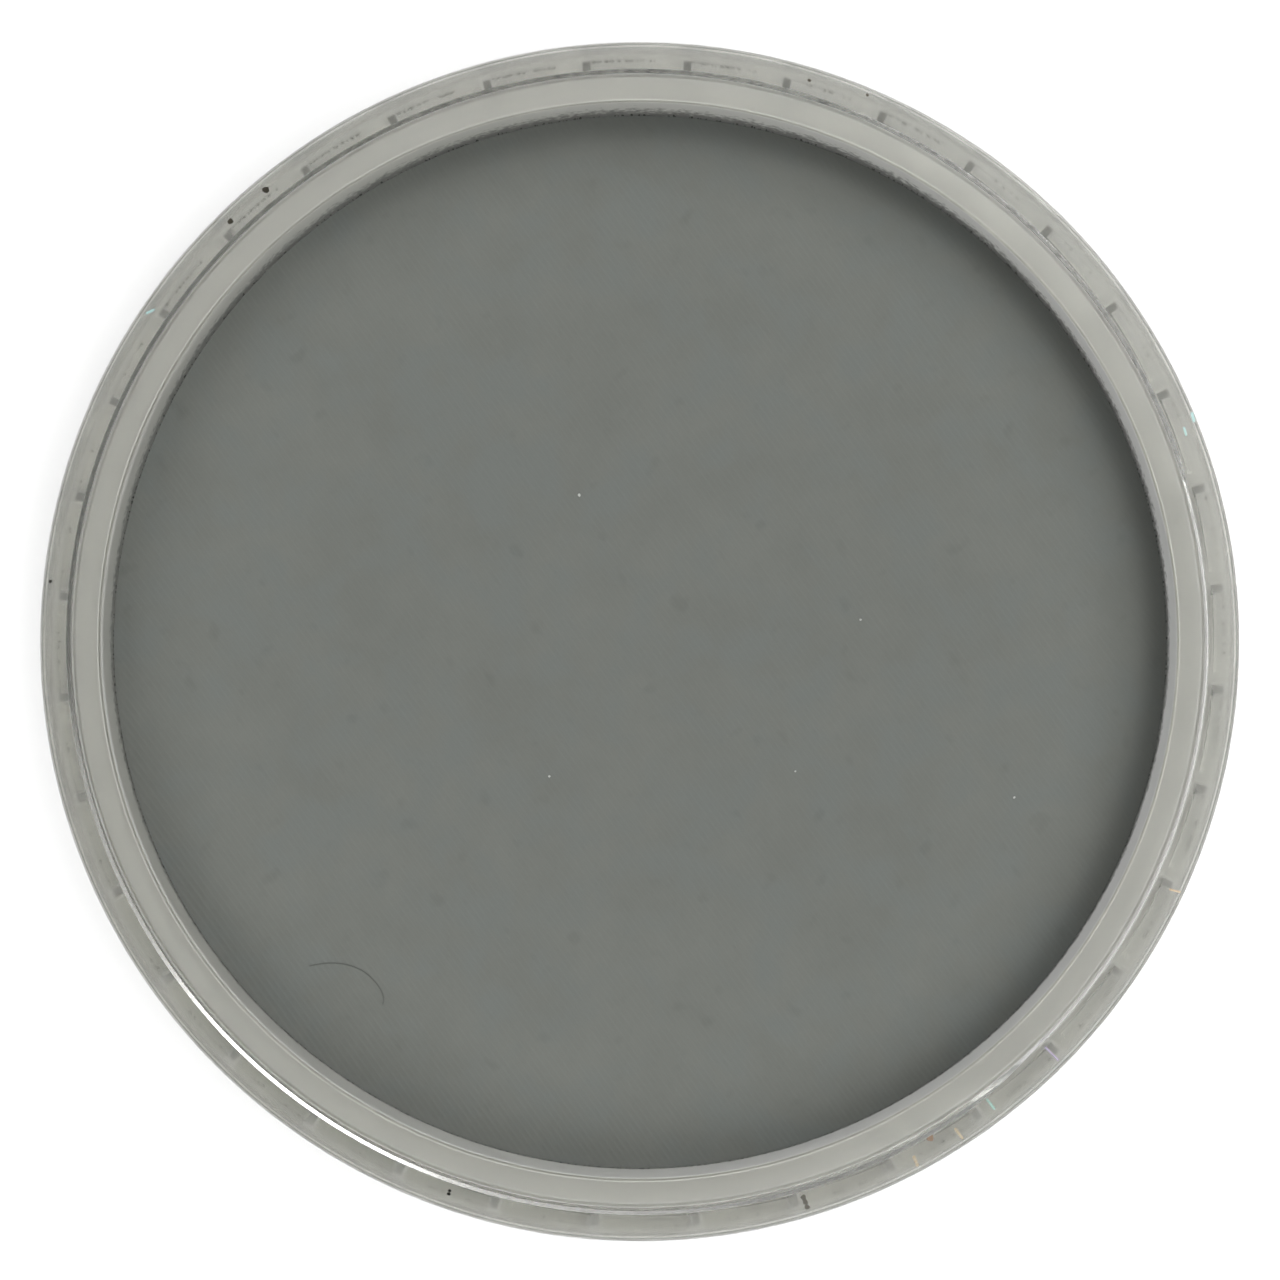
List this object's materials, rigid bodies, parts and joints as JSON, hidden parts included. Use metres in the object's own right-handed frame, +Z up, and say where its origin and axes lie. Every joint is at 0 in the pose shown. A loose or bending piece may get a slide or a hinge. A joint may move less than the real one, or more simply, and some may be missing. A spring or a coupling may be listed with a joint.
{
  "type": "stackable pastel pan",
  "caption": "Round clear screw jar, open at the top, holding a disc of pressed artist's pastel colour. Its threaded neck screws into the skirt of the next jar in a stack.",
  "frame": {"origin": "centre of the circle that the jar stands on", "axes": "+Z up along the jar's axis, out of the open bowl; +X towards the lower end of the neck's thread, give or take 5 degrees"},
  "size_m": [0.062, 0.062, 0.016],
  "materials": {
    "clear_polystyrene": "moulded, polished clear",
    "pressed_pastel": "pressed powder, dead matt",
    "label_paper": "uncoated, blank"
  },
  "bodies": {
    "root": {"jar": "clear_polystyrene", "colour_cake": "pressed_pastel", "base_label": "label_paper"}
  },
  "joints": []
}
